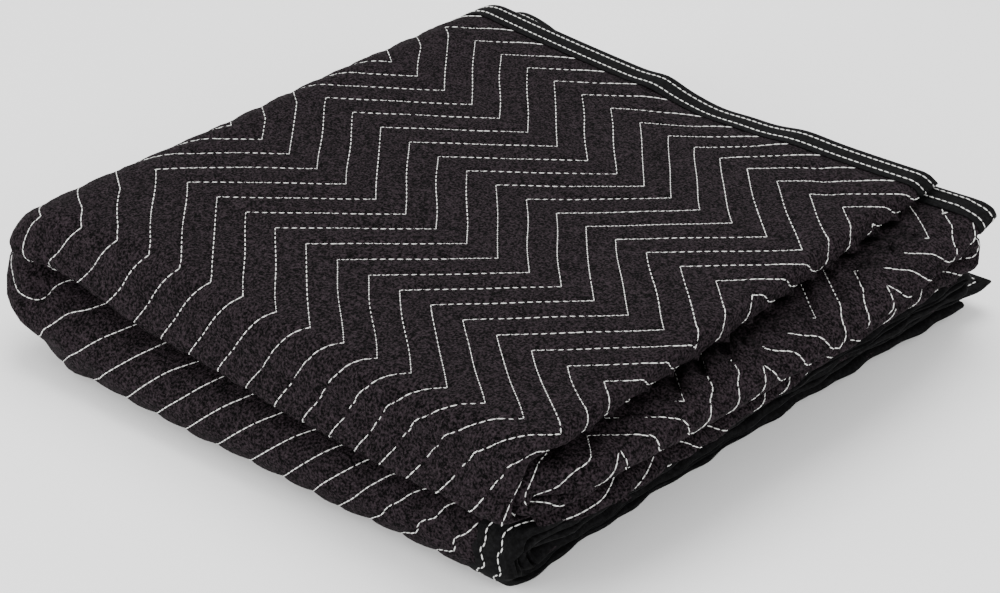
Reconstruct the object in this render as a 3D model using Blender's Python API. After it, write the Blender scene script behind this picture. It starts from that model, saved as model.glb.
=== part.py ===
"""Quilted moving pad, folded in sixteen layers.

The pad is one big quilted rectangle with a bound edge. It is folded in half across
the stitch lines, in half along them, in half along them again, and last in half
across them. Every point of the flat pad is carried through those four folds in
turn, so the layers, rolls and bound edges lie where the real folding puts them.
Lengths are metres, +Z is up, the pad rests on the plane z = 0.
"""
import math

import bmesh
import bpy
import numpy as np
from mathutils import Vector
from mathutils.geometry import delaunay_2d_cdt

# Flat pad
PAD_ALONG = 1.800
PAD_ACROSS = 1.830
# The first fold along the pad is this far from its start, the second this far from the first
LONG_FOLD = 0.892
SHORT_TURN = 0.432
CLOTH_THICK = 0.0042
BOUND_THICK = 0.0022

# Binding tape
TAPE_LEAF = 0.025
TAPE_THICK = 0.0007
SEWN_GAP = 0.0003
RAMP_START = 0.0262
RAMP_END = 0.0340

# Quilting: zigzag lockstitch lines run along the pad
LINE_SPACING = 0.0282
HALF_PERIOD = 0.0742
ZIGZAG_WIDTH = 0.0742
# A corner row of the zigzag lies at this distance along the pad, a line at this one across
PHASE_ALONG = 0.4241
PHASE_ACROSS = 0.3859
GROOVE_DEPTH = 0.0013
PILLOW_RISE = 0.0003

# The four folds in the order they are made
#            gap left inside, slip of the layers, roundness of the roll
FOLDS = {
    "across_first": (0.0020, 1.00, 1.00),
    "along_first": (0.0016, 0.30, 1.00),
    "along_second": (0.0018, 0.42, 1.00),
    "across_last": (0.0030, 0.30, 1.00),
}

# How far a layer keeps square across its thickness as it slips
LAYER_GRIP = 0.5

# Widths of the fifteen spaces between layers at the open side, top to bottom (mm)
#                   front, middle, right
OPEN_SIDE_SPACES = (
    (3.0, 5.0, 4.0),
    (1.2, 1.4, 2.0),
    (27.0, 19.0, 12.0),
    (1.2, 1.4, 2.0),
    (2.2, 4.0, 5.0),
    (1.2, 1.4, 1.6),
    (1.8, 3.0, 4.0),
    (1.2, 1.4, 1.6),
    (1.2, 1.2, 1.4),
    (1.2, 1.2, 1.4),
    (1.2, 1.2, 1.4),
    (1.2, 1.2, 1.4),
    (1.2, 1.2, 1.4),
    (1.2, 1.2, 1.4),
    (1.2, 1.2, 1.4),
)

# How far each fold end stands out at the open side, top to bottom (mm)
#                 height share, front, middle, right
OPEN_SIDE_REACH = (
    (1.00, -3.0, -9.0, -24.0),
    (0.84, -7.0, -10.0, -17.0),
    (0.64, -9.0, -2.0, 11.0),
    (0.48, -8.0, 2.0, 11.0),
    (0.20, -12.0, 0.0, 13.0),
    (0.00, -14.0, -1.0, 13.0),
)

# How far the two stacked rolls stand out at the folded side (mm)
#                   height share, end, left, middle, front
FOLDED_SIDE_REACH = (
    (1.00, 13.0, 0.0, 0.0, 0.0),
    (0.62, 17.0, 2.0, 0.0, 0.0),
    (0.26, 16.0, 27.0, 13.0, -8.0),
    (0.00, 10.0, 25.0, 11.0, -8.0),
)

# How far the last fold stands out near the folded side
END_BULGE = 0.007

# How far the bound edges below the top pair are drawn in at the back (mm)
#                   left, middle, right
BACK_DRAW = (16.0, 8.0, -7.0)

# Soft bumps and hollows of the top: position, half widths and height
#                   x, y, half width x, half width y, height (m)
TOP_WAVES = (
    (0.130, 0.430, 0.040, 0.070, -0.0030),
    (0.190, 0.430, 0.035, 0.060, 0.0030),
    (0.255, 0.430, 0.030, 0.050, -0.0022),
    (0.300, 0.430, 0.030, 0.050, 0.0024),
)

# Droop of the upper roll at the folded side, as a share of the height
DROOP = 0.05

# Height of the top over the pad: mean, and the slow swell of it
TOP_HEIGHT = 0.110
SWELL_ALONG = -0.0035
SWELL_ACROSS = -0.0040
SWELL_ALONG2 = -0.0037
SWELL_TWIST = -0.0015
SWELL_ACROSS2 = 0.0110


def blend(x, start, end):
    """Smooth step from 0 at start to 1 at end."""
    s = np.clip((x - start) / (end - start), 0.0, 1.0)
    return s * s * (3.0 - 2.0 * s)


def three_point(y, front, middle, right):
    """Smooth curve through values at y = 0, 0.22 and 0.44."""
    s = np.clip(y / 0.44, -0.1, 1.1)
    a = 2.0 * (s - 0.5) * (s - 1.0)
    b = -4.0 * s * (s - 1.0)
    c = 2.0 * s * (s - 0.5)
    return front * a + middle * b + right * c


def roll_half(rho, rho_mid, slip):
    """Half of the cloth length that a layer gives to a fold."""
    return 0.5 * math.pi * (slip * rho + (1.0 - slip) * rho_mid)


def fold_under(a, z, mid, height, fold):
    """Fold the a > 0 part of a stack under the a < 0 part.

    z is the level of the point and mid that of the middle of its layer. All points
    across a layer turn together, so the cloth keeps its thickness round the roll.
    """
    gap, slip, roundness = FOLDS[fold]
    rho = z + 0.5 * gap
    rho_mid = mid + 0.5 * gap
    half = roll_half(rho + LAYER_GRIP * (rho_mid - rho), 0.5 * (height + gap), slip)
    turn = np.clip((a + half) / (2.0 * half), 0.0, 1.0) * math.pi
    out = np.where(a < -half, a + half, np.where(a > half, half - a, 0.0))
    out = out + roundness * rho * np.sin(turn)
    level = height + 0.5 * gap + rho * np.cos(turn)
    mid_level = height + 0.5 * gap + rho_mid * np.cos(turn)
    return out, level, mid_level


def stack_heights():
    """Stack height after each fold."""
    heights = [CLOTH_THICK]
    for fold in FOLDS:
        heights.append(2.0 * heights[-1] + FOLDS[fold][0])
    return heights


HEIGHTS = stack_heights()


def layer_bands():
    """Bottom and top of each of the sixteen layers in the folded stack."""
    bands = [(0.0, CLOTH_THICK)]
    for index, fold in enumerate(FOLDS):
        lift = HEIGHTS[index] + FOLDS[fold][0]
        bands = bands + [(low + lift, high + lift) for low, high in bands]
    return bands


BANDS = layer_bands()


def fold_pad(along, across, depth):
    """Carry points of the flat pad through the four folds."""
    x, y = across - 0.5 * PAD_ACROSS, along - LONG_FOLD
    mid = np.full_like(depth, 0.5 * CLOTH_THICK)
    x, z, mid = fold_under(x, depth, mid, HEIGHTS[0], "across_first")
    y, z, mid = fold_under(y, z, mid, HEIGHTS[1], "along_first")
    y, z, mid = fold_under(y + SHORT_TURN, z, mid, HEIGHTS[2], "along_second")
    x, z, mid = fold_under(-(x + 0.25 * PAD_ACROSS), z, mid, HEIGHTS[3], "across_last")
    return -x, -y, z


def open_out(x, y, z):
    """Let the spaces between the layers widen towards the open side."""
    weight = blend(x, 0.13, 0.345) * (0.45 + 0.55 * blend(y, -0.03, 0.17))
    level = np.zeros_like(z)
    total = np.zeros_like(z)
    for index, (low, high) in enumerate(BANDS):
        level = level + np.clip(z - low, 0.0, high - low)
        total = total + (high - low)
        if index == len(BANDS) - 1:
            break
        space = BANDS[index + 1][0] - high
        row = OPEN_SIDE_SPACES[len(OPEN_SIDE_SPACES) - 1 - index]
        wide = three_point(y, *row) * 0.001
        wide = np.maximum(wide, 0.0009)
        wide = space + (wide - space) * weight
        level = level + np.clip(z - high, 0.0, space) * wide / space
        total = total + wide
    return level, total


def reach(table, share, curve):
    """Smooth reach over the height share, from a table of rows and a curve along the side."""
    rows = sorted(table)
    value = curve(*rows[0][1:])
    for lower, upper in zip(rows[:-1], rows[1:]):
        step = blend(share, lower[0], upper[0])
        value = value + step * (curve(*upper[1:]) - curve(*lower[1:]))
    return value * 0.001


def top_height(x, y):
    """Height of the top panel above the floor."""
    a = (y - 0.20) / 0.20
    b = (x + 0.124 - 0.27) / 0.25
    a = np.clip(a, -1.15, 1.25)
    b = np.clip(b, -0.80, 1.10)
    swell = SWELL_ALONG * a + SWELL_ACROSS * b + SWELL_ALONG2 * a * a
    swell = swell + SWELL_TWIST * a * b + SWELL_ACROSS2 * b * b
    for centre_x, centre_y, wide_x, wide_y, rise in TOP_WAVES:
        far = ((x - centre_x) / wide_x) ** 2 + ((y - centre_y) / wide_y) ** 2
        swell = swell + rise * np.exp(-far)
    return TOP_HEIGHT + swell


def settle(x, y, z):
    """Uneven lie of the folded pad."""
    level, total = open_out(x, y, z)
    share = np.clip(level / total, 0.0, 1.0)
    # the upper roll droops over the lower one towards the end of the folded side
    droop = DROOP * (1.0 - blend(x, -0.02, 0.40)) * (1.0 - blend(y, 0.0, 0.20))
    share_up = share - droop * share * (1.0 - share)
    height = share_up * top_height(x, y)
    # open side
    pull = blend(x, 0.20, 0.345)

    def open_side(front, middle, right):
        return three_point(y, front, middle, right)

    x_out = x + pull * reach(OPEN_SIDE_REACH, share, open_side)
    # folded side
    push = 1.0 - blend(y, -0.012, 0.18)
    at_end = 1.0 - blend(x, -0.06, 0.05)

    def folded_side(end, left, middle, front):
        return three_point(x * 1.05, left, middle, front) + at_end * (end - left)

    y_out = y - push * reach(FOLDED_SIDE_REACH, share, folded_side)
    # back: the step lies in the space under the top pair
    below = 1.0 - np.clip((z - BANDS[-3][1]) / (BANDS[-2][0] - BANDS[-3][1]), 0.0, 1.0)
    below = below * blend(x, 0.0, 0.08) * blend(y, 0.26, 0.42)
    y_out = y_out - below * three_point(x, *BACK_DRAW) * 0.001
    # last fold
    x_out = x_out - END_BULGE * (1.0 - blend(y, -0.02, 0.17)) * (1.0 - blend(x, -0.06, 0.09))
    return x_out, y_out, height


def place(along, across, depth):
    """Point of the flat pad to its place in the folded pad."""
    return settle(*fold_pad(along, across, depth))


def zigzag(along):
    """Sideways swing of a stitch line at a distance along the pad."""
    phase = (along - PHASE_ALONG) / HALF_PERIOD
    wave = np.abs(np.mod(phase, 2.0) - 1.0)
    return ZIGZAG_WIDTH * wave


def line_phase(along, across):
    """Position between two stitch lines, 0 on a line and 0.5 midway."""
    return np.mod((across - PHASE_ACROSS - zigzag(along)) / LINE_SPACING, 1.0)


def show_boxes():
    """Parts of the flat pad whose outer face shows, as along and across ranges."""
    quarter_u = LONG_FOLD - SHORT_TURN
    quarter_v = 0.25 * PAD_ACROSS
    return (
        (RAMP_END, quarter_u + 0.036, quarter_v - 0.075, 2.0 * quarter_v + 0.008),
        (quarter_u - 0.036, quarter_u + 0.036, RAMP_END, quarter_v - 0.075),
        (LONG_FOLD + SHORT_TURN + 0.030, PAD_ALONG - RAMP_END, 2.0 * quarter_v - 0.012, 2.0 * quarter_v + 0.030),
    )


def shows(along, across):
    """Weight of the quilted relief."""
    weight = np.zeros_like(along)
    for low_u, high_u, low_v, high_v in show_boxes():
        inside = blend(along, low_u - 0.012, low_u) * (1.0 - blend(along, high_u, high_u + 0.012))
        inside = inside * blend(across, low_v - 0.012, low_v)
        inside = inside * (1.0 - blend(across, high_v, high_v + 0.012))
        weight = np.maximum(weight, inside)
    return weight


def quilt_relief(along, across):
    """Height of the outer face over its mean, pulled down at the stitch lines."""
    phase = line_phase(along, across)
    pillow = np.sin(math.pi * phase) ** 0.8
    return shows(along, across) * (PILLOW_RISE - GROOVE_DEPTH * (1.0 - pillow))


def edge_press(along, across):
    """How far each face is pressed in near the bound edge."""
    inside = np.minimum(np.minimum(along, PAD_ALONG - along), np.minimum(across, PAD_ACROSS - across))
    press = 0.5 * (CLOTH_THICK - BOUND_THICK)
    return press * (1.0 - np.clip((inside - RAMP_START) / (RAMP_END - RAMP_START), 0.0, 1.0))


def spread(start, end, count, crowd=0.0):
    """Grid lines strictly between two ends, closer together near the ends when crowded."""
    shares = [(k + 1) / (count + 1) for k in range(count)]
    shares = [t - crowd * math.sin(2.0 * math.pi * t) for t in shares]
    return [("at", start + (end - start) * t) for t in shares]


# Stations of a fold, as shares of its half length
WIDE_ROLL = (-1.0, -0.667, -0.333, 0.0, 0.333, 0.667, 1.0)
SMALL_ROLL = (-1.0, -0.55, -0.18, 0.18, 0.55, 1.0)
HIDDEN_ROLL = (-1.0, -0.5, 0.0, 0.5, 1.0)

# Reach of a fold to either side of its line, for the flat grid lines beside it
ROLL_SIDE = {"across_first": 0.010, "along_first": 0.024, "along_second": 0.046, "across_last": 0.076}


def edge_lines(length):
    """Grid lines of the bound border at the start and the end of a side."""
    start = [("at", 0.0), ("at", RAMP_START), ("at", RAMP_END)]
    end = [("at", length - RAMP_END), ("at", length - RAMP_START), ("at", length)]
    return start, end


def across_lines():
    """Grid lines across the pad, in order."""
    quarter = 0.25 * PAD_ACROSS
    first = ROLL_SIDE["across_first"]
    last = ROLL_SIDE["across_last"]
    start, end = edge_lines(PAD_ACROSS)
    lines = start + spread(RAMP_END, quarter - last, 5)
    lines = lines + [("last_a", f) for f in WIDE_ROLL]
    lines = lines + spread(quarter + last, 2.0 * quarter - first, 7, 0.07)
    lines = lines + [("first", f) for f in SMALL_ROLL]
    lines = lines + spread(2.0 * quarter + first, 3.0 * quarter - last, 7, 0.07)
    lines = lines + [("last_b", f) for f in WIDE_ROLL]
    lines = lines + spread(3.0 * quarter + last, PAD_ACROSS - RAMP_END, 5)
    return lines + end


def along_lines():
    """Grid lines along the pad, in order."""
    half = LONG_FOLD
    first = ROLL_SIDE["along_first"]
    second = ROLL_SIDE["along_second"]
    start, end = edge_lines(PAD_ALONG)
    lines = start + spread(RAMP_END, half - SHORT_TURN - second, 4)
    lines = lines + [("quarter_a", f) for f in WIDE_ROLL]
    lines = lines + spread(half - SHORT_TURN + second, half - first, 3)
    lines = lines + [("half", f) for f in HIDDEN_ROLL]
    lines = lines + spread(half + first, half + SHORT_TURN - second, 3)
    lines = lines + [("quarter_b", f) for f in HIDDEN_ROLL]
    lines = lines + spread(half + SHORT_TURN + second, PAD_ALONG - RAMP_END, 3)
    return lines + end


def flat_point(row, column):
    """Flat position of a grid crossing, following each layer's own share of the folds."""
    kind_u, value_u = row
    kind_v, value_v = column
    middle = 0.5 * CLOTH_THICK

    def span(level, index, fold):
        gap, slip, _ = FOLDS[fold]
        return roll_half(level + 0.5 * gap, 0.5 * (HEIGHTS[index] + gap), slip)

    span_1 = span(middle, 0, "across_first")
    side = 0.25 * PAD_ACROSS
    if kind_v == "first":
        side = value_v * span_1
    elif kind_v == "last_a" or (kind_v == "at" and value_v < 0.5 * PAD_ACROSS):
        side = -side
    _, z1, _ = fold_under(side, middle, middle, HEIGHTS[0], "across_first")
    z1 = float(z1)
    span_2 = span(z1, 1, "along_first")
    half = LONG_FOLD
    if kind_u == "at":
        along = value_u
    elif kind_u == "half":
        along = half + value_u * span_2
    elif kind_u == "quarter_a":
        span_3 = span(z1 + HEIGHTS[1] + FOLDS["along_first"][0], 2, "along_second")
        along = half - SHORT_TURN - span_2 + value_u * span_3
    else:
        span_3 = span(HEIGHTS[1] - z1, 2, "along_second")
        along = half + SHORT_TURN + span_2 + value_u * span_3
    y2, z2, _ = fold_under(along - half, z1, z1, HEIGHTS[1], "along_first")
    _, z3, _ = fold_under(y2 + SHORT_TURN, z2, z2, HEIGHTS[2], "along_second")
    span_4 = span(float(z3), 3, "across_last")
    quarter = 0.25 * PAD_ACROSS
    if kind_v == "at":
        across = value_v
    elif kind_v == "first":
        across = 2.0 * quarter + value_v * span_1
    elif kind_v == "last_a":
        across = quarter - span_1 + value_v * span_4
    else:
        across = 3.0 * quarter + span_1 + value_v * span_4
    return along, across


def clip_segment(start, end, box):
    """Part of a flat segment inside a box, or nothing."""
    low, high = 0.0, 1.0
    for axis in (0, 1):
        delta = end[axis] - start[axis]
        for limit, side in ((box[2 * axis], 1.0), (box[2 * axis + 1], -1.0)):
            # inside where side * (value - limit) >= 0
            at_start = side * (start[axis] - limit)
            slope = side * delta
            if abs(slope) < 1e-12:
                if at_start < 0.0:
                    return None
                continue
            cut = -at_start / slope
            if slope > 0.0:
                low = max(low, cut)
            else:
                high = min(high, cut)
    if high - low < 1e-6:
        return None
    point = [[s + (e - s) * t for s, e in zip(start, end)] for t in (low, high)]
    return point[0], point[1]


def stitch_segments():
    """Straight pieces of the grooves and of the crests between them, in the parts that show."""
    corners = [PHASE_ALONG + HALF_PERIOD * k for k in range(-8, 24)]
    corners = [c for c in corners if -HALF_PERIOD < c < PAD_ALONG + HALF_PERIOD]
    segments = []
    boxes = show_boxes()
    count = int(PAD_ACROSS / LINE_SPACING) + 6
    for index in range(-2 * count, 2 * count):
        base = PHASE_ACROSS + 0.5 * LINE_SPACING * index
        for start_u, end_u in zip(corners[:-1], corners[1:]):
            start = (start_u, base + float(zigzag(np.array(start_u))))
            end = (end_u, base + float(zigzag(np.array(end_u))))
            for box in boxes:
                piece = clip_segment(start, end, box)
                if piece is not None:
                    segments.append(piece)
    return segments


def grid_points():
    """Flat positions of every grid crossing, one list per row."""
    return [[flat_point(row, column) for column in across_lines()] for row in along_lines()]


# Flat points closer than this are one point
MERGE_FLAT = 0.0006


def outer_face(grid):
    """Triangles of the outer face: the fold grid with the quilting lines cut in."""
    rows, columns = len(grid), len(grid[0])
    points = [Vector(p) for row in grid for p in row]
    edges = []
    for i in range(rows):
        for j in range(columns):
            here = i * columns + j
            if j + 1 < columns:
                edges.append((here, here + 1))
            if i + 1 < rows:
                edges.append((here, here + columns))
    edges = edges + border_diagonals(rows, columns)
    for start, end in stitch_segments():
        edges.append((len(points), len(points) + 1))
        points.append(Vector(start))
        points.append(Vector(end))
    result = delaunay_2d_cdt(points, edges, [], 0, MERGE_FLAT, True)
    verts, _, faces, origin = result[0], result[1], result[2], result[3]
    place_of = {}
    for out_index, sources in enumerate(origin):
        for source in sources:
            if source < rows * columns:
                place_of[source] = out_index
    return [(v[0], v[1]) for v in verts], [tuple(f) for f in faces], place_of


def rim_order(rows, columns):
    """Grid crossings round the border of the pad, in order."""
    loop = [j for j in range(columns)]
    loop = loop + [i * columns + columns - 1 for i in range(1, rows)]
    loop = loop + [(rows - 1) * columns + j for j in range(columns - 2, -1, -1)]
    loop = loop + [i * columns for i in range(rows - 2, 0, -1)]
    return loop


def border_diagonals(rows, columns):
    """Diagonals of the border cells, from the rim to the next station further in.

    The tape is split the same way, so tape and cloth stay parallel where they twist.
    """
    loop = rim_order(rows, columns)
    pairs = []
    for here, after in zip(loop, loop[1:] + loop[:1]):
        i, j = divmod(here, columns)
        m, n = divmod(after, columns)
        if i == m:
            if n in (0, columns - 1) or j in (0, columns - 1):
                continue
            pairs.append((here, (1 if i == 0 else rows - 2) * columns + n))
        else:
            if m in (0, rows - 1) or i in (0, rows - 1):
                continue
            pairs.append((here, m * columns + (1 if j == 0 else columns - 2)))
    return pairs


def build_cloth(grid):
    """One closed body: outer face, inner face and the thin rim between them."""
    rows, columns = len(grid), len(grid[0])
    outer_flat, outer_faces, place_of = outer_face(grid)
    outer = np.array(outer_flat)
    inner = np.array([p for row in grid for p in row])
    press_outer = edge_press(outer[:, 0], outer[:, 1])
    press_inner = edge_press(inner[:, 0], inner[:, 1])
    depth_outer = CLOTH_THICK - press_outer + quilt_relief(outer[:, 0], outer[:, 1])
    x_a, y_a, z_a = place(outer[:, 0], outer[:, 1], depth_outer)
    x_b, y_b, z_b = place(inner[:, 0], inner[:, 1], press_inner)
    count = len(outer)
    verts = list(zip(x_a, y_a, z_a)) + list(zip(x_b, y_b, z_b))
    faces = [tuple(f) for f in outer_faces]
    forced = set(border_diagonals(rows, columns))
    for i in range(rows - 1):
        for j in range(columns - 1):
            a = count + i * columns + j
            b = a + 1
            c = a + columns + 1
            d = a + columns
            falling = {(a - count, c - count), (c - count, a - count)} & forced
            rising = {(b - count, d - count), (d - count, b - count)} & forced
            if falling or (not rising and (i + j) % 2):
                faces.append((a, b, c))
                faces.append((a, c, d))
            else:
                faces.append((a, b, d))
                faces.append((b, c, d))
    loop = rim_order(rows, columns)
    for here, after in zip(loop, loop[1:] + loop[:1]):
        faces.append((place_of[here], place_of[after], count + here))
        faces.append((place_of[after], count + after, count + here))
    return verts, faces


def build_tape(grid):
    """One closed ring of folded tape round the whole border, mitred at the corners."""
    rows, columns = len(grid), len(grid[0])
    flat = [p for row in grid for p in row]
    loop = rim_order(rows, columns)
    leaf = TAPE_LEAF
    wrap = SEWN_GAP + TAPE_THICK
    top = CLOTH_THICK
    section = (
        (leaf, top),
        (-wrap, top),
        (-wrap, 0.0),
        (leaf, 0.0),
        (leaf, TAPE_THICK),
        (-SEWN_GAP, TAPE_THICK),
        (-SEWN_GAP, top - TAPE_THICK),
        (leaf, top - TAPE_THICK),
    )
    along, across, depth = [], [], []
    for index in loop:
        u, v = flat[index]
        step_u = (u < 1e-6) * 1.0 - (u > PAD_ALONG - 1e-6) * 1.0
        step_v = (v < 1e-6) * 1.0 - (v > PAD_ACROSS - 1e-6) * 1.0
        for inward, level in section:
            along.append(u + step_u * inward)
            across.append(v + step_v * inward)
            depth.append(level)
    x, y, z = place(np.array(along), np.array(across), np.array(depth))
    verts = list(zip(x, y, z))
    size = len(section)
    faces = []
    for k in range(len(loop)):
        near = k * size
        far = ((k + 1) % len(loop)) * size
        for m in range(size):
            n = (m + 1) % size
            if section[m] < section[n]:
                faces.append((near + m, near + n, far + n))
                faces.append((near + m, far + n, far + m))
            else:
                faces.append((near + m, near + n, far + m))
                faces.append((near + n, far + n, far + m))
    return verts, faces


def make_object(name, verts, faces, colour, roughness):
    """One named object with its own plain material."""
    mesh = bpy.data.meshes.new(name)
    mesh.from_pydata([tuple(float(c) for c in v) for v in verts], [], faces)
    work = bmesh.new()
    work.from_mesh(mesh)
    bmesh.ops.recalc_face_normals(work, faces=work.faces)
    work.to_mesh(mesh)
    work.free()
    mesh.validate()
    material = bpy.data.materials.new(name + "_finish")
    material.use_nodes = True
    shader = material.node_tree.nodes["Principled BSDF"]
    shader.inputs["Base Color"].default_value = (colour[0], colour[1], colour[2], 1.0)
    shader.inputs["Roughness"].default_value = roughness
    shader.inputs["Metallic"].default_value = 0.0
    mesh.materials.append(material)
    body = bpy.data.objects.new(name, mesh)
    bpy.context.scene.collection.objects.link(body)
    return body


for old in list(bpy.data.objects):
    bpy.data.objects.remove(old)

GRID = grid_points()
CLOTH_VERTS, CLOTH_FACES = build_cloth(GRID)
TAPE_VERTS, TAPE_FACES = build_tape(GRID)

# The origin is the middle of the footprint, on the floor
EVERY = np.array(CLOTH_VERTS + TAPE_VERTS)
MIDDLE = 0.5 * (EVERY.min(axis=0) + EVERY.max(axis=0))
SHIFT = np.array([MIDDLE[0], MIDDLE[1], 0.0])
CLOTH_VERTS = [np.array(v) - SHIFT for v in CLOTH_VERTS]
TAPE_VERTS = [np.array(v) - SHIFT for v in TAPE_VERTS]

make_object("quilted_pad", CLOTH_VERTS, CLOTH_FACES, (0.017, 0.016, 0.018), 0.92)
make_object("binding_tape", TAPE_VERTS, TAPE_FACES, (0.010, 0.010, 0.011), 0.85)
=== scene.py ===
import math

import bmesh
import bpy
import numpy as np
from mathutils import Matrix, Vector
from mathutils.geometry import delaunay_2d_cdt


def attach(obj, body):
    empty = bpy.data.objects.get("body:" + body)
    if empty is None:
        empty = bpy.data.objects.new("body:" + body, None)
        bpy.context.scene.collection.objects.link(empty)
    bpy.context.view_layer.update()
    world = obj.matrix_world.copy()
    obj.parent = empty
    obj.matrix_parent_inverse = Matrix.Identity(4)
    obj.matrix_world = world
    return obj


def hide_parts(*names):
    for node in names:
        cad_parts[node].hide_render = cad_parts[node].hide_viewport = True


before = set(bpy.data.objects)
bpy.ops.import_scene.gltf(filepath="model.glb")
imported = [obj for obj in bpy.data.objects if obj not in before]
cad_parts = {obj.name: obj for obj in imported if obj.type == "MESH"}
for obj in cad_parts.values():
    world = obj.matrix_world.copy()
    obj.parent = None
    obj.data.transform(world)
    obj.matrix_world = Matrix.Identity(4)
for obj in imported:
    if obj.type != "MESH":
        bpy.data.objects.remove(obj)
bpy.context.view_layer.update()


# The studio: a pale seamless floor, soft light from above and a camera at the photograph's angle.
# The camera is placed round the pad by its azimuth and elevation, with a long lens.
FLOOR_HALF = 6.0
FLOOR_LEVEL = -0.0004
FLOOR_COLOUR = (0.93, 0.93, 0.93, 1.0)
CAMERA_AZIMUTH = math.radians(-47.9)
CAMERA_ELEVATION = math.radians(32.52)
CAMERA_PLACE = (0.8693, -0.9677, 0.8554)
CAMERA_LENS = 79.2
SENSOR = 36.0

# Softboxes, aimed at the middle of the pad: place, size across (m) and power (W)
SOFTBOXES = {
    "overhead_softbox": ((-0.3, 0.5, 1.9), 1.6, 36.0),
    "left_softbox": ((-0.9, -1.9, 0.8), 1.3, 44.0),
    "right_fill": ((1.9, -0.2, 0.8), 1.3, 30.0),
}
LIGHT_AIM = (0.0, 0.0, 0.05)
ROOM_LIGHT = 1.1


def plain_material(name, colour, roughness):
    material = bpy.data.materials.new(name)
    material.use_nodes = True
    shader = material.node_tree.nodes["Principled BSDF"]
    shader.inputs["Base Color"].default_value = colour
    shader.inputs["Roughness"].default_value = roughness
    return material


def add_camera():
    data = bpy.data.cameras.new("photo_camera")
    camera = bpy.data.objects.new("photo_camera", data)
    bpy.context.scene.collection.objects.link(camera)
    flat = math.cos(CAMERA_ELEVATION)
    ahead = Vector((
        -math.cos(CAMERA_AZIMUTH) * flat,
        -math.sin(CAMERA_AZIMUTH) * flat,
        -math.sin(CAMERA_ELEVATION),
    ))
    camera.location = CAMERA_PLACE
    camera.rotation_euler = ahead.to_track_quat("-Z", "Y").to_euler()
    data.sensor_width = SENSOR
    data.lens = CAMERA_LENS
    data.clip_start = 0.01
    bpy.context.scene.camera = camera


def add_light(name, place, size, power):
    data = bpy.data.lights.new(name, "AREA")
    data.shape = "DISK"
    data.size = size
    data.energy = power
    light = bpy.data.objects.new(name, data)
    bpy.context.scene.collection.objects.link(light)
    light.location = place
    aim = Vector(LIGHT_AIM) - Vector(place)
    light.rotation_euler = aim.to_track_quat("-Z", "Y").to_euler()


def add_floor():
    mesh = bpy.data.meshes.new("studio_floor")
    signs = [(-1, -1), (1, -1), (1, 1), (-1, 1)]
    corners = [(x * FLOOR_HALF, y * FLOOR_HALF, FLOOR_LEVEL) for x, y in signs]
    mesh.from_pydata(corners, [], [(0, 1, 2, 3)])
    floor = bpy.data.objects.new("studio_floor", mesh)
    bpy.context.scene.collection.objects.link(floor)
    mesh.materials.append(plain_material("floor_paper", FLOOR_COLOUR, 0.9))


add_camera()
add_floor()
for softbox, (stand, across, power) in SOFTBOXES.items():
    add_light(softbox, stand, across, power)
studio = bpy.data.worlds.new("studio_world")
studio.use_nodes = True
backdrop = studio.node_tree.nodes["Background"]
backdrop.inputs["Color"].default_value = (1.0, 1.0, 1.0, 1.0)
backdrop.inputs["Strength"].default_value = ROOM_LIGHT
bpy.context.scene.world = studio


# The quilted cloth: two black face cloths with batting between, stitched through in zigzag rows
# into one sheet, then folded in half four times into sixteen layers. Every point of the flat
# sheet is carried through the four folds, and then through the uneven lie of the stack.
PAD_ALONG = 1.800
PAD_ACROSS = 1.830
# The first fold along the pad is this far from its start, the second this far from the first
LONG_FOLD = 0.892
SHORT_TURN = 0.432
CLOTH_THICK = 0.0042
BOUND_THICK = 0.0022
TAPE_LEAF = 0.025
RAMP_START = 0.0262
RAMP_END = 0.0340

# The four folds in the order they are made: gap left inside, slip of the layers, roundness
FOLDS = {
    "across_first": (0.0020, 1.00, 1.00),
    "along_first": (0.0016, 0.30, 1.00),
    "along_second": (0.0018, 0.42, 1.00),
    "across_last": (0.0030, 0.30, 1.00),
}
LAYER_GRIP = 0.5

# Below, names that end in _X, _Y or _SHARE are stretches: what they belong to comes in smoothly
# from the first value to the second. X runs from the last fold to the open side and Y from the
# folded side to the back (m). The share is that of the height.
MM = 0.001

# Widths of the fifteen spaces between layers at the open side, top to bottom (mm)
#    front, middle, right
OPEN_SIDE_SPACES = (
    (6.5, 7.5, 3.0),
    (10.5, 8.5, 2.0),
    (14.2, 9.4, 3.5),
    (1.2, 1.4, 11.5),
    (1.0, 1.4, 2.4),
    (1.0, 1.0, 1.2),
    (1.0, 1.4, 2.2),
    (1.2, 1.4, 1.6),
    *((1.5, 1.9, 2.2),) * 7,
)
LEAST_SPACE = 0.0009
OPENING_X = (0.13, 0.345)
OPENING_Y = (-0.03, 0.17)
# Share of the opening that is left at the folded side
LEAST_OPENING = 0.45

# How far each fold end stands out at the open side, top to bottom (mm)
#    height share, front, middle, right
OPEN_SIDE_REACH = (
    (1.00, -3.0, -9.0, -24.0),
    (0.84, -7.0, -10.0, -17.0),
    (0.64, -9.0, -2.0, 11.0),
    (0.52, -12.0, -5.0, 8.0),
    (0.40, -14.0, -3.0, 13.0),
    (0.20, -17.0, -6.0, 17.0),
    (0.00, -17.0, -7.0, 17.0),
)
FOLD_END_X = (0.20, 0.345)

# The second pair of layers lies out past the pair above it, like a shelf with a round edge:
# extra reach at the front, middle and right, how far its round edge swells, and how far its
# bound edge is drawn in at the back, left, middle and right (mm)
SHELF_REACH = (9.0, 19.0, 29.0)
SHELF_SWELL = 6.0
SHELF_DRAW = (16.0, 19.0, 13.0)
SHELF_ROUNDNESS = 0.75
SHELF_X = (0.12, 0.345)
SHELF_Y = (-0.004, 0.035)
SHELF_BACK_Y = (0.10, 0.42)

# Ripple of the lower layer ends at the open side (m)
EDGE_RIPPLE = 0.0012
RIPPLE_X = (0.26, 0.36)
RIPPLE_SHARE = (0.30, 0.75)

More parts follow.
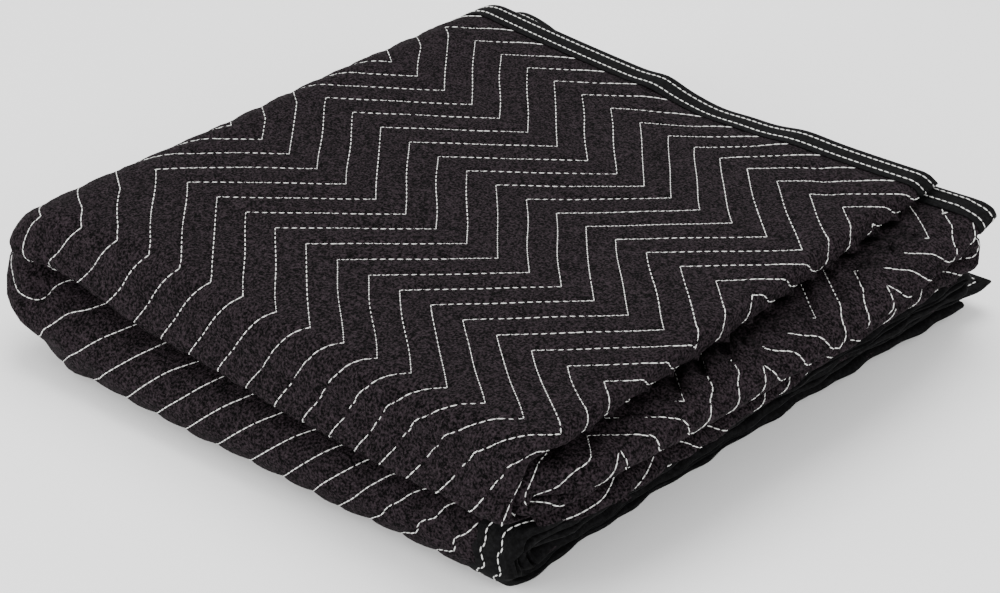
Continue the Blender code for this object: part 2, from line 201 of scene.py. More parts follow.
# The lower layer ends stand out unevenly, one past the next: size (m) and share of the height
EDGE_STEP = 0.0030
STEP_PITCH = 0.150
STEP_X = (0.29, 0.36)
STEP_SHARE = (0.42, 0.56)

# How far the end of the upper front roll is drawn in at the open side (mm)
#    height share, draw
ROLL_END_DRAW = (
    (1.00, 3.0),
    (0.85, 10.0),
    (0.70, 13.0),
    (0.50, 18.0),
    (0.36, 8.0),
    (0.20, 0.0),
)
ROLL_END_X = (0.24, 0.40)
ROLL_END_Y = (-0.020, 0.030)

# How far the two stacked rolls stand out at the folded side (mm)
#    height share, end, left, middle, front
FOLDED_SIDE_REACH = (
    (1.00, 13.0, 0.0, 0.0, 0.0),
    (0.80, 13.0, -1.0, -2.0, -2.0),
    (0.60, 17.0, 9.0, 8.0, 7.0),
    (0.505, 14.0, -3.0, -8.0, -13.0),
    (0.43, 17.0, 16.0, 10.0, -1.0),
    (0.26, 20.0, 28.0, 12.0, -8.0),
    (0.00, 15.0, 26.0, 10.0, -7.0),
)
FOLDED_SIDE_Y = (-0.012, 0.18)
ROLLS_END_X = (-0.06, 0.05)

# How far the last fold stands out near the folded side
END_BULGE = 0.007
BULGE_X = (-0.06, 0.09)
BULGE_Y = (-0.02, 0.17)

# How far the bound edges below the top pair are drawn in at the back: left, middle, right (mm)
BACK_DRAW = (16.0, 8.0, -7.0)
BACK_X = (0.0, 0.08)
BACK_Y = (0.26, 0.42)

# Soft bumps and hollows of the top: centre x and y, half widths along x and y, height (m)
TOP_WAVES = (
    (-0.060, 0.000, 0.075, 0.110, -0.0090),
    (0.120, 0.460, 0.300, 0.130, 0.0035),
    (0.163, 0.430, 0.014, 0.045, 0.0030),
    (0.215, 0.430, 0.035, 0.055, -0.0060),
    (0.270, 0.430, 0.030, 0.060, -0.0030),
    (0.310, 0.430, 0.022, 0.040, 0.0015),
)

# Droop of the upper roll at the folded side, as a share of the height
DROOP = 0.05
DROOP_X = (-0.02, 0.40)
DROOP_Y = (0.0, 0.20)

# How far the upper roll sags onto the lower one
ROLL_SAG = 0.20
SAG_Y = (-0.010, 0.060)

# How far the crease between the rolls rises at its far left end, as a share of the height
END_LIFT = 0.18
LIFT_X = (-0.050, 0.090)
LIFT_Y = (0.0, 0.16)

# Height of the top over the floor: mean, and the slow swell of it about a middle point (x, y),
# with its half widths, and how many half widths out it still grows on either side
TOP_HEIGHT = 0.110
SWELL_MIDDLE = (0.146, 0.20)
SWELL_HALF = (0.25, 0.20)
SWELL_FAR = ((-0.80, 1.10), (-1.15, 1.25))
SWELL_ALONG = -0.0035
SWELL_ACROSS = -0.0040
SWELL_ALONG2 = -0.0037
SWELL_TWIST = -0.0015
SWELL_ACROSS2 = 0.0110

# The underside lies flat on the floor at this height
REST_LEVEL = 0.0001

# The folding is worked out from the corner of the flat pad, the frame from the footprint's middle
FOOT_MIDDLE = (0.19385563, 0.20527798)


def blend(x, start, end):
    """Smooth step from 0 at start to 1 at end."""
    s = np.clip((x - start) / (end - start), 0.0, 1.0)
    return s * s * (3.0 - 2.0 * s)


# Length of the side that the three values of a table row span (m)
SIDE_LENGTH = 0.44


def three_point(y, front, middle, right):
    """Smooth curve through values at the start, the middle and the end of a side."""
    s = np.clip(y / SIDE_LENGTH, -0.1, 1.1)
    a = 2.0 * (s - 0.5) * (s - 1.0)
    b = -4.0 * s * (s - 1.0)
    c = 2.0 * s * (s - 0.5)
    return front * a + middle * b + right * c


def roll_half(rho, rho_mid, slip):
    """Half of the cloth length that a layer gives to a fold."""
    return 0.5 * math.pi * (slip * rho + (1.0 - slip) * rho_mid)


def fold_under(a, z, mid, height, fold):
    """Fold the a > 0 part of a stack under the a < 0 part."""
    gap, slip, roundness = FOLDS[fold]
    rho = z + 0.5 * gap
    rho_mid = mid + 0.5 * gap
    half = roll_half(rho + LAYER_GRIP * (rho_mid - rho), 0.5 * (height + gap), slip)
    turn = np.clip((a + half) / (2.0 * half), 0.0, 1.0) * math.pi
    out = np.where(a < -half, a + half, np.where(a > half, half - a, 0.0))
    out = out + roundness * rho * np.sin(turn)
    level = height + 0.5 * gap + rho * np.cos(turn)
    mid_level = height + 0.5 * gap + rho_mid * np.cos(turn)
    return out, level, mid_level


def stack_heights():
    heights = [CLOTH_THICK]
    for fold in FOLDS:
        heights.append(2.0 * heights[-1] + FOLDS[fold][0])
    return heights


HEIGHTS = stack_heights()


def layer_bands():
    """Bottom and top of each of the sixteen layers in the folded stack."""
    bands = [(0.0, CLOTH_THICK)]
    for index, fold in enumerate(FOLDS):
        lift = HEIGHTS[index] + FOLDS[fold][0]
        bands = bands + [(low + lift, high + lift) for low, high in bands]
    return bands


BANDS = layer_bands()


def fold_pad(along, across, depth):
    """Carry points of the flat pad through the four folds."""
    x, y = across - 0.5 * PAD_ACROSS, along - LONG_FOLD
    mid = np.full_like(depth, 0.5 * CLOTH_THICK)
    x, z, mid = fold_under(x, depth, mid, HEIGHTS[0], "across_first")
    y, z, mid = fold_under(y, z, mid, HEIGHTS[1], "along_first")
    y, z, mid = fold_under(y + SHORT_TURN, z, mid, HEIGHTS[2], "along_second")
    x, z, mid = fold_under(-(x + 0.25 * PAD_ACROSS), z, mid, HEIGHTS[3], "across_last")
    return -x, -y, z


def open_out(x, y, z):
    """Let the spaces between the layers widen towards the open side."""
    weight = LEAST_OPENING + (1.0 - LEAST_OPENING) * blend(y, *OPENING_Y)
    weight = blend(x, *OPENING_X) * weight
    level = np.zeros_like(z)
    total = np.zeros_like(z)
    for index, (low, high) in enumerate(BANDS):
        level = level + np.clip(z - low, 0.0, high - low)
        total = total + (high - low)
        if index == len(BANDS) - 1:
            break
        space = BANDS[index + 1][0] - high
        row = OPEN_SIDE_SPACES[len(OPEN_SIDE_SPACES) - 1 - index]
        wide = np.maximum(three_point(y, *row) * MM, LEAST_SPACE)
        wide = space + (wide - space) * weight
        level = level + np.clip(z - high, 0.0, space) * wide / space
        total = total + wide
    return level, total


def reach(table, share, curve):
    """Smooth reach over the height share, from a table of rows and a curve along the side."""
    rows = sorted(table)
    value = curve(*rows[0][1:])
    for lower, upper in zip(rows[:-1], rows[1:]):
        step = blend(share, lower[0], upper[0])
        value = value + step * (curve(*upper[1:]) - curve(*lower[1:]))
    return value * MM


def top_height(x, y):
    """Height of the top panel above the floor."""
    a = np.clip((y - SWELL_MIDDLE[1]) / SWELL_HALF[1], *SWELL_FAR[1])
    b = np.clip((x - SWELL_MIDDLE[0]) / SWELL_HALF[0], *SWELL_FAR[0])
    swell = SWELL_ALONG * a + SWELL_ACROSS * b + SWELL_ALONG2 * a * a
    swell = swell + SWELL_TWIST * a * b + SWELL_ACROSS2 * b * b
    for centre_x, centre_y, wide_x, wide_y, rise in TOP_WAVES:
        far = ((x - centre_x) / wide_x) ** 2 + ((y - centre_y) / wide_y) ** 2
        swell = swell + rise * np.exp(-far)
    return TOP_HEIGHT + swell


def shelf_pair(z):
    """1 within the second pair of layers from the top, changing only in the spaces beside it."""
    over = np.clip((z - BANDS[-5][1]) / (BANDS[-4][0] - BANDS[-5][1]), 0.0, 1.0)
    under = np.clip((z - BANDS[-3][1]) / (BANDS[-2][0] - BANDS[-3][1]), 0.0, 1.0)
    return over * (1.0 - under)


def shelf_swell(x, y, level):
    """Roundness of the shelf's edge over the height between its two outer faces."""
    low, _ = open_out(x, y, np.full_like(x, BANDS[-4][0]))
    high, _ = open_out(x, y, np.full_like(x, BANDS[-3][1]))
    side = np.clip((2.0 * level - low - high) / (high - low), -1.0, 1.0)
    return (1.0 - side * side) ** SHELF_ROUNDNESS


def settle(x, y, z):
    """Uneven lie of the folded pad."""
    level, total = open_out(x, y, z)
    share = np.clip(level / total, 0.0, 1.0)
    # the upper roll droops over the lower one towards the end of the folded side
    droop = DROOP * (1.0 - blend(x, *DROOP_X)) * (1.0 - blend(y, *DROOP_Y))
    share_up = share - droop * share * (1.0 - share)
    upper = np.clip(2.0 * share_up - 1.0, 1e-6, 1.0)
    sag = ROLL_SAG * (1.0 - blend(y, *SAG_Y))
    share_up = np.where(share_up > 0.5, 0.5 + 0.5 * upper ** (1.0 + sag), share_up)
    lift = END_LIFT * (1.0 - blend(x, *LIFT_X)) * (1.0 - blend(y, *LIFT_Y))
    share_up = share_up + 4.0 * lift * share_up * (1.0 - share_up)
    height = share_up * top_height(x, y)

    # open side
    def open_side(front, middle, right):
        return three_point(y, front, middle, right)

    x_out = x + blend(x, *FOLD_END_X) * reach(OPEN_SIDE_REACH, share, open_side)
    wave = np.sin(83.0 * y + 21.0 * share) + 0.7 * np.sin(187.0 * y - 33.0 * share + 1.1)
    low_down = 1.0 - blend(share, *RIPPLE_SHARE)
    x_out = x_out + blend(x, *RIPPLE_X) * low_down * EDGE_RIPPLE * wave
    step = np.sin(2.0 * math.pi * share / STEP_PITCH + 1.5 * np.sin(11.0 * y + 0.6))
    low_down = 1.0 - blend(share, *STEP_SHARE)
    x_out = x_out + blend(x, *STEP_X) * low_down * EDGE_STEP * step
    shelf = shelf_pair(z)
    shelf_out = three_point(y, *SHELF_REACH) + SHELF_SWELL * shelf_swell(x, y, level)
    x_out = x_out + blend(x, *SHELF_X) * blend(y, *SHELF_Y) * shelf * shelf_out * MM
    # the front roll ends further in than the panels above and below it
    roll = blend(x, *ROLL_END_X) * (1.0 - blend(y, *ROLL_END_Y))
    x_out = x_out - roll * reach(ROLL_END_DRAW, share, lambda draw: draw)
    # folded side
    push = 1.0 - blend(y, *FOLDED_SIDE_Y)
    at_end = 1.0 - blend(x, *ROLLS_END_X)

    def folded_side(end, left, middle, front):
        return three_point(x * 1.05, left, middle, front) + at_end * (end - left)

    y_out = y - push * reach(FOLDED_SIDE_REACH, share, folded_side)
    # back: the step lies in the space under the top pair
    below = 1.0 - np.clip((z - BANDS[-3][1]) / (BANDS[-2][0] - BANDS[-3][1]), 0.0, 1.0)
    below = below * blend(x, *BACK_X)
    draw = three_point(x, *BACK_DRAW) * (1.0 - shelf) * blend(y, *BACK_Y)
    draw = draw + three_point(x, *SHELF_DRAW) * shelf * blend(y, *SHELF_BACK_Y)
    y_out = y_out - below * draw * MM
    # last fold
    x_out = x_out - END_BULGE * (1.0 - blend(y, *BULGE_Y)) * (1.0 - blend(x, *BULGE_X))
    return x_out, y_out, height


# Cloth given to the turns at the open side, in the order of the four pairs along the pad:
# end of the pair along the pad, offset of the turn from the pad's middle, half length of it (m)
TURNS = (
    (0.460, 0.0000, 0.0115),
    (0.892, 0.0000, 0.0115),
    (1.324, 0.0000, 0.0100),
    (1.800, -0.0105, 0.0165),
)
TURN_BLEND = 0.030
TURN_FADE = 0.40
TIGHT_TURN = 0.5 * math.pi * 0.5 * (CLOTH_THICK + FOLDS["across_first"][0])


def turn_at(along):
    """Offset and half length of the open-side turn at a distance along the pad."""
    centre = np.full_like(along, TURNS[0][1])
    half = np.full_like(along, TURNS[0][2])
    for (edge, c0, h0), (_, c1, h1) in zip(TURNS[:-1], TURNS[1:]):
        step = blend(along, edge - TURN_BLEND, edge + TURN_BLEND)
        centre = centre + step * (c1 - c0)
        half = half + step * (h1 - h0)
    return centre, half


def gather(along, across):
    """Flat place to folding place: the turns at the open side take up their own cloth."""
    centre, half = turn_at(along)
    side = across - 0.5 * PAD_ACROSS
    t = side - centre
    right = TIGHT_TURN + (t - half) * (TURN_FADE - TIGHT_TURN) / (TURN_FADE - centre - half)
    left = -TIGHT_TURN + (t + half) * (TURN_FADE - TIGHT_TURN) / (TURN_FADE + centre - half)
    moved = np.where(t > half, right, np.where(t < -half, left, t * TIGHT_TURN / half))
    return 0.5 * PAD_ACROSS + np.where(np.abs(side) > TURN_FADE, side, moved)


def ungather(along, folding):
    """Folding place back to flat place."""
    centre, half = turn_at(along)
    d = folding - 0.5 * PAD_ACROSS
    right = half + (d - TIGHT_TURN) * (TURN_FADE - centre - half) / (TURN_FADE - TIGHT_TURN)
    left = -half + (d + TIGHT_TURN) * (TURN_FADE + centre - half) / (TURN_FADE - TIGHT_TURN)
    t = np.where(d > TIGHT_TURN, right, np.where(d < -TIGHT_TURN, left, d * half / TIGHT_TURN))
    return 0.5 * PAD_ACROSS + np.where(np.abs(d) > TURN_FADE, d, t + centre)


def place(folding, depth):
    """Points given by their folding places to where they lie in the folded pad."""
    folding = np.asarray(folding, dtype=float)
    depth = np.asarray(depth, dtype=float)
    x, y, z = settle(*fold_pad(folding[:, 0], folding[:, 1], depth))
    z = np.maximum(z, REST_LEVEL)
    return np.stack([x - FOOT_MIDDLE[0], y - FOOT_MIDDLE[1], z], axis=1)


def to_flat(folding):
    folding = np.asarray(folding, dtype=float)
    return np.stack([folding[:, 0], ungather(folding[:, 0], folding[:, 1])], axis=1)


def to_folding(flat):
    flat = np.asarray(flat, dtype=float)
    return np.stack([flat[:, 0], gather(flat[:, 0], flat[:, 1])], axis=1)


# Quilting: zigzag lockstitch rows run along the pad. Each row pulls a groove between pillows,
# and the relief fades out towards the binding.
LINE_SPACING = 0.0282
HALF_PERIOD = 0.0684
ZIGZAG_WIDTH = 0.0725
PHASE_ALONG = 0.4241
PHASE_ACROSS = 0.3866
GROOVE_DEPTH = 0.0017
PILLOW_RISE = 0.0005
PILLOW_ROUNDNESS = 0.7
RELIEF_FADE = (RAMP_END - 0.002, RAMP_END + 0.012)
LINE_WANDER = 0.0005

# Creases and soft dents of the outer face, by flat place: along, across, half length,
# half width (m), turn from the along direction (degrees), height (mm)
CREASES = (
    (0.448, 0.426, 0.016, 0.006, 70.0, 4.0),
    (0.440, 0.408, 0.017, 0.006, 105.0, -3.2),
    (0.453, 0.390, 0.016, 0.006, 60.0, 3.6),
    (0.458, 0.440, 0.015, 0.006, 85.0, -3.2),
    (0.436, 0.434, 0.016, 0.006, 120.0, 3.2),
    (0.446, 0.372, 0.020, 0.006, 75.0, -2.8),
    (0.458, 0.412, 0.012, 0.005, 40.0, 3.4),
    (0.432, 0.388, 0.018, 0.007, 95.0, 2.6),
    (0.500, 0.350, 0.030, 0.008, 55.0, 1.4),
    (0.470, 0.300, 0.032, 0.010, 40.0, -1.5),
    (0.430, 0.260, 0.034, 0.010, 62.0, 1.3),
    (0.490, 0.200, 0.030, 0.010, 48.0, -1.4),
    (0.440, 0.140, 0.034, 0.010, 55.0, 1.3),
    (0.470, 0.080, 0.030, 0.009, 65.0, -1.3),
    (0.435, 0.560, 0.040, 0.012, 70.0, -1.2),
    (0.450, 0.690, 0.040, 0.012, 60.0, 1.1),
    (0.430, 0.800, 0.045, 0.012, 75.0, -1.2),
    (0.440, 0.880, 0.025, 0.006, 30.0, 1.6),
    (0.460, 0.895, 0.022, 0.005, -25.0, -1.8),
    (0.478, 0.880, 0.022, 0.005, 12.0, 1.6),
    (1.620, 0.897, 0.090, 0.0034, 2.0, 1.5),
    (1.500, 0.893, 0.070, 0.0030, -2.0, 1.3),
    (1.450, 0.905, 0.060, 0.0030, 1.5, 1.3),
    (1.700, 0.903, 0.060, 0.0034, -3.0, 1.4),
    (1.580, 0.913, 0.070, 0.0030, 2.0, -1.2),
    (1.410, 0.917, 0.050, 0.0036, 3.0, 1.4),
    (1.520, 0.925, 0.060, 0.0032, -3.0, 1.2),
    (1.660, 0.921, 0.050, 0.0030, 3.0, 1.1),
    (0.300, 0.905, 0.070, 0.0060, 4.0, 1.0),
    (0.160, 0.900, 0.060, 0.0060, -4.0, 1.0),
    (0.060, 0.860, 0.040, 0.0080, 40.0, -1.6),
    (0.075, 0.800, 0.035, 0.0080, 60.0, 1.2),
)

# Between these two places, round the first turn, the feed is a little longer
LONG_FEED = (PHASE_ALONG, 0.560)
LONG_PERIOD = 0.0742

# The rows start a little turned: turn in radians, where along the pad it ends, and its pivot
ROW_TURN = 0.078
TURN_END = 0.354
TURN_PIVOT = 0.860


def zigzag_phase(along):
    """Half swings of the needles up to a distance along the pad."""
    start, end = LONG_FEED
    long = np.clip(along, start, end) - start
    short = np.minimum(along, start) - start + np.maximum(along - end, 0.0)
    return long / LONG_PERIOD + short / HALF_PERIOD


def along_at(phase):
    """Distance along the pad at a number of half swings."""
    start, end = LONG_FEED
    turn = (end - start) / LONG_PERIOD
    before, after = min(phase, 0.0) * HALF_PERIOD, max(phase - turn, 0.0) * HALF_PERIOD
    return start + before + min(max(phase, 0.0), turn) * LONG_PERIOD + after


def zigzag(along):
    """Sideways swing of a stitch line at a distance along the pad."""
    return ZIGZAG_WIDTH * np.abs(np.mod(zigzag_phase(along), 2.0) - 1.0)


def wander(along, across):
    """Small wander of the stitch lines to either side."""
    wave = np.sin(67.0 * along + 41.0 * across) + 0.6 * np.sin(151.0 * along - 23.0 * across + 1.3)
    return LINE_WANDER * wave


# The upper front roll takes up this much more cloth than its folding shows, and the rows
# cross it a little turned: extra cloth (m), turn in radians, pivot across the pad, and the
# stretches over which the turn and the cloth come in, where both end, and where they start
ROLL_CLOTH = 0.017
FRONT_TURN = 0.050
FRONT_PIVOT = 0.680
FRONT_TURN_ALONG = (0.354, 0.424)
ROLL_CLOTH_ALONG = (0.424, 0.484)
ROLL_END_ALONG = (0.500, 0.560)
ROLL_START_ACROSS = (0.430, 0.500)


def turned(along, across):
    """Place in the straight pattern to place on the pad."""
    left = np.maximum(TURN_END - along, 0.0)
    front = FRONT_TURN * (across - FRONT_PIVOT) * blend(along, *FRONT_TURN_ALONG)
    roll = ROLL_CLOTH * blend(along, *ROLL_CLOTH_ALONG) + front
    roll = roll * (1.0 - blend(along, *ROLL_END_ALONG)) * blend(across, *ROLL_START_ACROSS)
    start = ROW_TURN * left / TURN_END * (across - TURN_PIVOT)
    return along + start - roll, across + ROW_TURN * left


STRAIGHTEN_ROUNDS = 9


def straightened(along, across):
    """Place on the pad back to its place in the straight pattern."""
    u, v = along, across
    for _ in range(STRAIGHTEN_ROUNDS):
        moved_u, moved_v = turned(u, v)
        u, v = u + along - moved_u, v + across - moved_v
    return u, v


def line_phase(along, across):
    """Position between two stitch lines, 0 on a line and 0.5 midway."""
    u, v = straightened(along, across)
    side = v - PHASE_ACROSS - zigzag(u) - wander(u, v)
    return np.mod(side / LINE_SPACING, 1.0)


def inside_edge(along, across):
    """Distance in from the nearest edge of the flat pad."""
    from_ends = np.minimum(along, PAD_ALONG - along)
    return np.minimum(from_ends, np.minimum(across, PAD_ACROSS - across))


def quilt_relief(along, across):
    """Height of the outer face over its mean, pulled down at the stitch lines."""
    pillow = np.sin(math.pi * line_phase(along, across)) ** PILLOW_ROUNDNESS
    relief = PILLOW_RISE - GROOVE_DEPTH * (1.0 - pillow)
    for centre_u, centre_v, long, wide, turn, height in CREASES:
        cos, sin = math.cos(math.radians(turn)), math.sin(math.radians(turn))
        a, b = along - centre_u, across - centre_v
        far = ((a * cos + b * sin) / long) ** 2 + ((b * cos - a * sin) / wide) ** 2
        relief = relief + MM * height * np.exp(-far)
    return relief * blend(inside_edge(along, across), *RELIEF_FADE)


def edge_press(along, across):
    """How far each face is pressed in under the binding."""
    press = 0.5 * (CLOTH_THICK - BOUND_THICK)
    ramp = (inside_edge(along, across) - RAMP_START) / (RAMP_END - RAMP_START)
    return press * (1.0 - np.clip(ramp, 0.0, 1.0))


# Stations of a fold, as shares of its half length, close enough for a round roll
WIDE_ROLL = tuple(-1.0 + k / 7.0 for k in range(15))
SMALL_ROLL = (-1.0, -0.75, -0.5, -0.25, 0.0, 0.25, 0.5, 0.75, 1.0)
# How far a fold reaches to either side of its middle (m)
ROLL_SIDE = {
    "across_first": 0.010,
    "along_first": 0.024,
    "along_second": 0.046,
    "across_last": 0.076,
}
# Steps of the grid on the flat panels, wide and fine (m)
WIDE_STEP = 0.020
FINE_STEP = 0.018


def spread(start, end, step):
    """Grid lines strictly between two ends, about a step apart."""
    count = max(1, int(round((end - start) / step)))
    return [("at", start + (end - start) * k / count) for k in range(1, count)]


def edge_lines(length):
    """Grid lines of the bound border at the start and the end of a side."""
    inset = (0.0, 0.5 * TAPE_LEAF, RAMP_START, RAMP_END)
    return [("at", d) for d in inset], [("at", length - d) for d in reversed(inset)]


def across_lines():
    """Grid lines across the pad, in order."""
    quarter = 0.25 * PAD_ACROSS
    half, far = 2.0 * quarter, 3.0 * quarter
    first = ROLL_SIDE["across_first"]
    last = ROLL_SIDE["across_last"]
    start, end = edge_lines(PAD_ACROSS)
    lines = start + spread(RAMP_END, quarter - last, WIDE_STEP) + [("at", quarter - last)]
    lines = lines + [("last_a", f) for f in WIDE_ROLL] + [("at", quarter + last)]
    lines = lines + spread(quarter + last, half - first, FINE_STEP)
    lines = lines + [("first", f) for f in SMALL_ROLL]
    lines = lines + spread(half + first, far - last, FINE_STEP) + [("at", far - last)]
    lines = lines + [("last_b", f) for f in WIDE_ROLL] + [("at", far + last)]
    lines = lines + spread(far + last, PAD_ACROSS - RAMP_END, WIDE_STEP)
    return lines + end


def along_lines():
    """Grid lines along the pad, in order."""
    first = ROLL_SIDE["along_first"]
    second = ROLL_SIDE["along_second"]
    turn_a, turn_b = LONG_FOLD - SHORT_TURN, LONG_FOLD + SHORT_TURN
    start, end = edge_lines(PAD_ALONG)
    lines = start + spread(RAMP_END, turn_a - second, FINE_STEP) + [("at", turn_a - second)]
    lines = lines + [("quarter_a", f) for f in WIDE_ROLL] + [("at", turn_a + second)]
    lines = lines + spread(turn_a + second, LONG_FOLD - first, WIDE_STEP)
    lines = lines + [("half", f) for f in SMALL_ROLL]
    lines = lines + spread(LONG_FOLD + first, turn_b - second, WIDE_STEP)
    lines = lines + [("at", turn_b - second)]
    lines = lines + [("quarter_b", f) for f in SMALL_ROLL] + [("at", turn_b + second)]
    lines = lines + spread(turn_b + second, PAD_ALONG - RAMP_END, FINE_STEP)
    return lines + end


def flat_point(row, column):
    """Flat position of a grid crossing, following each layer's own share of the folds."""
    kind_u, value_u = row
    kind_v, value_v = column
    middle = 0.5 * CLOTH_THICK
    quarter = 0.25 * PAD_ACROSS

    def span(level, index, fold):
        gap, slip, _ = FOLDS[fold]
        return roll_half(level + 0.5 * gap, 0.5 * (HEIGHTS[index] + gap), slip)

    span_1 = span(middle, 0, "across_first")
    side = quarter
    if kind_v == "first":
        side = value_v * span_1
    elif kind_v == "last_a" or (kind_v == "at" and value_v < 2.0 * quarter):
        side = -side
    _, z1, _ = fold_under(side, middle, middle, HEIGHTS[0], "across_first")
    z1 = float(z1)
    span_2 = span(z1, 1, "along_first")
    if kind_u == "at":
        along = value_u
    elif kind_u == "half":
        along = LONG_FOLD + value_u * span_2
    elif kind_u == "quarter_a":
        span_3 = span(z1 + HEIGHTS[1] + FOLDS["along_first"][0], 2, "along_second")
        along = LONG_FOLD - SHORT_TURN - span_2 + value_u * span_3
    else:
        span_3 = span(HEIGHTS[1] - z1, 2, "along_second")
        along = LONG_FOLD + SHORT_TURN + span_2 + value_u * span_3
    y2, z2, _ = fold_under(along - LONG_FOLD, z1, z1, HEIGHTS[1], "along_first")
    _, z3, _ = fold_under(y2 + SHORT_TURN, z2, z2, HEIGHTS[2], "along_second")
    span_4 = span(float(z3), 3, "across_last")
    if kind_v == "at":
        across = value_v
    elif kind_v == "first":
        across = 2.0 * quarter + value_v * span_1
    elif kind_v == "last_a":
        across = quarter - span_1 + value_v * span_4
    else:
        across = 3.0 * quarter + span_1 + value_v * span_4
    return along, across


# Parts of the flat pad that show in the folded stack: along from and to, across from and to
#    outer panels with their rolls, layer ends at the open side, opened loop
OUTER_END = 0.560
LAYER_ENDS = (0.868, 0.962)
LOOP_START = 1.290
LOOP = (0.780, 1.050)
SHOWN_PARTS = (
    (RAMP_END, OUTER_END, RAMP_END, 0.985),
    (OUTER_END, PAD_ALONG - RAMP_END, *LAYER_ENDS),
    (LOOP_START, PAD_ALONG - RAMP_END, *LOOP),
)
# Rows of points over a leg of the zigzag, more of them before the first, points between two
# lines as shares of the spacing, and how far inside its part each point stays (m)
ROWS_PER_LEG = 18
ROWS_BEFORE = 6
FINE_PHASES = (0.0, 0.10, 0.26, 0.50, 0.74, 0.90)
PART_MARGIN = 0.001


def fine_points(boxes, rows_per_leg, phases):
    """Extra points in the shown parts, in rows that follow the zigzag lines."""
    points = []
    seen = []
    for low_u, high_u, low_v, high_v in boxes:
        first = math.ceil(float(zigzag_phase(low_u)) * rows_per_leg) - ROWS_BEFORE
        last = math.floor(float(zigzag_phase(high_u)) * rows_per_leg)
        for k in range(first, last + 1):
            at = along_at(k / rows_per_leg)
            base = PHASE_ACROSS + float(zigzag(np.array(at)))
            start = math.floor((low_v - base) / LINE_SPACING) - 1
            stop = math.ceil((high_v - base) / LINE_SPACING) + 1
            for line in range(start, stop):
                for phase in phases:
                    u, v = turned(at, base + (line + phase) * LINE_SPACING)
                    if not low_v + PART_MARGIN < v < high_v - PART_MARGIN:
                        continue
                    if not low_u + PART_MARGIN < u < high_u - PART_MARGIN:
                        continue
                    if any(a < u < b and c < v < d for a, b, c, d in seen):
                        continue
                    points.append((u, v))
        seen.append((low_u, high_u, low_v, high_v))
    return points


# Points nearer than this on the flat pad are joined (m). This many grid lines along each side
# stay as edges, so that the bound border keeps its shape.
MERGE_FLAT = 0.0007
BORDER_LINES = 4


def face_of_pad(grid, extra):
    """Triangles of one face of the pad: the fold grid with the extra points worked in."""
    rows, columns = len(grid), len(grid[0])
    points = [Vector(p) for row in grid for p in row]
    points = points + [Vector(p) for p in np.asarray(extra).tolist()]
    edges = []
    for i in range(rows):
        for j in range(columns):
            here = i * columns + j
            if j + 1 < columns and min(i, rows - 1 - i) < BORDER_LINES:
                edges.append((here, here + 1))
            if i + 1 < rows and min(j, columns - 1 - j) < BORDER_LINES:
                edges.append((here, here + columns))
    result = delaunay_2d_cdt(points, edges, [], 0, MERGE_FLAT, True)
    verts, faces, origin = result[0], result[2], result[3]
    place_of = {}
    for out_index, sources in enumerate(origin):
        for source in sources:
            if source < rows * columns:
                place_of[source] = out_index
    return [(v[0], v[1]) for v in verts], [tuple(f) for f in faces], place_of


def rim_order(rows, columns):
    """Grid crossings round the border of the pad, in order."""
    loop = [j for j in range(columns)]
    loop = loop + [i * columns + columns - 1 for i in range(1, rows)]
    loop = loop + [(rows - 1) * columns + j for j in range(columns - 2, -1, -1)]
    loop = loop + [i * columns for i in range(rows - 2, 0, -1)]
    return loop


def make_piece(name, verts, faces, flat, material):
    """A smooth mesh piece. Its UV map is its place on the flat pad, in metres."""
    mesh = bpy.data.meshes.new(name)
    mesh.from_pydata([tuple(v) for v in np.asarray(verts).tolist()], [], faces)
    layer = mesh.uv_layers.new(name="flat")
    corner = np.zeros(len(mesh.loops), dtype=np.int32)
    mesh.loops.foreach_get("vertex_index", corner)
    layer.data.foreach_set("uv", np.asarray(flat, dtype=np.float32)[corner].ravel())
    work = bmesh.new()
    work.from_mesh(mesh)
    bmesh.ops.recalc_face_normals(work, faces=work.faces)
    work.to_mesh(mesh)
    work.free()
    mesh.polygons.foreach_set("use_smooth", [True] * len(mesh.polygons))
    mesh.materials.append(material)
    piece = bpy.data.objects.new(name, mesh)
    bpy.context.scene.collection.objects.link(piece)
    return piece


def build_cloth(grid, material):
    rows, columns = len(grid), len(grid[0])
    extra = to_folding(fine_points(SHOWN_PARTS, ROWS_PER_LEG, FINE_PHASES))
    outer, outer_faces, at_outer = face_of_pad(grid, extra)
    inner, inner_faces, at_inner = face_of_pad(grid, [])
    outer, inner = np.array(outer), np.array(inner)
    flat = to_flat(np.concatenate([outer, inner]))
    relief = quilt_relief(flat[:len(outer), 0], flat[:len(outer), 1])
    outer_depth = CLOTH_THICK - edge_press(outer[:, 0], outer[:, 1]) + relief
    inner_depth = edge_press(inner[:, 0], inner[:, 1])
    verts = np.concatenate([place(outer, outer_depth), place(inner, inner_depth)])
    count = len(outer)
    faces = outer_faces + [(a + count, c + count, b + count) for a, b, c in inner_faces]
    loop = rim_order(rows, columns)
    for here, after in zip(loop, loop[1:] + loop[:1]):
        faces.append((at_outer[here], at_outer[after], count + at_inner[here]))
        faces.append((at_outer[after], count + at_inner[after], count + at_inner[here]))
    return make_piece("quilted_cloth", verts, faces, flat, material)


def new_group(name, inputs, outputs):
    """An empty shader group with named inputs and outputs."""
    group = bpy.data.node_groups.new(name, "ShaderNodeTree")
    for label, kind, value in inputs:
        socket = group.interface.new_socket(name=label, in_out="INPUT", socket_type=kind)
        if value is not None:
            socket.default_value = value
    for label, kind in outputs:
        group.interface.new_socket(name=label, in_out="OUTPUT", socket_type=kind)
    return group, group.nodes.new("NodeGroupInput"), group.nodes.new("NodeGroupOutput")


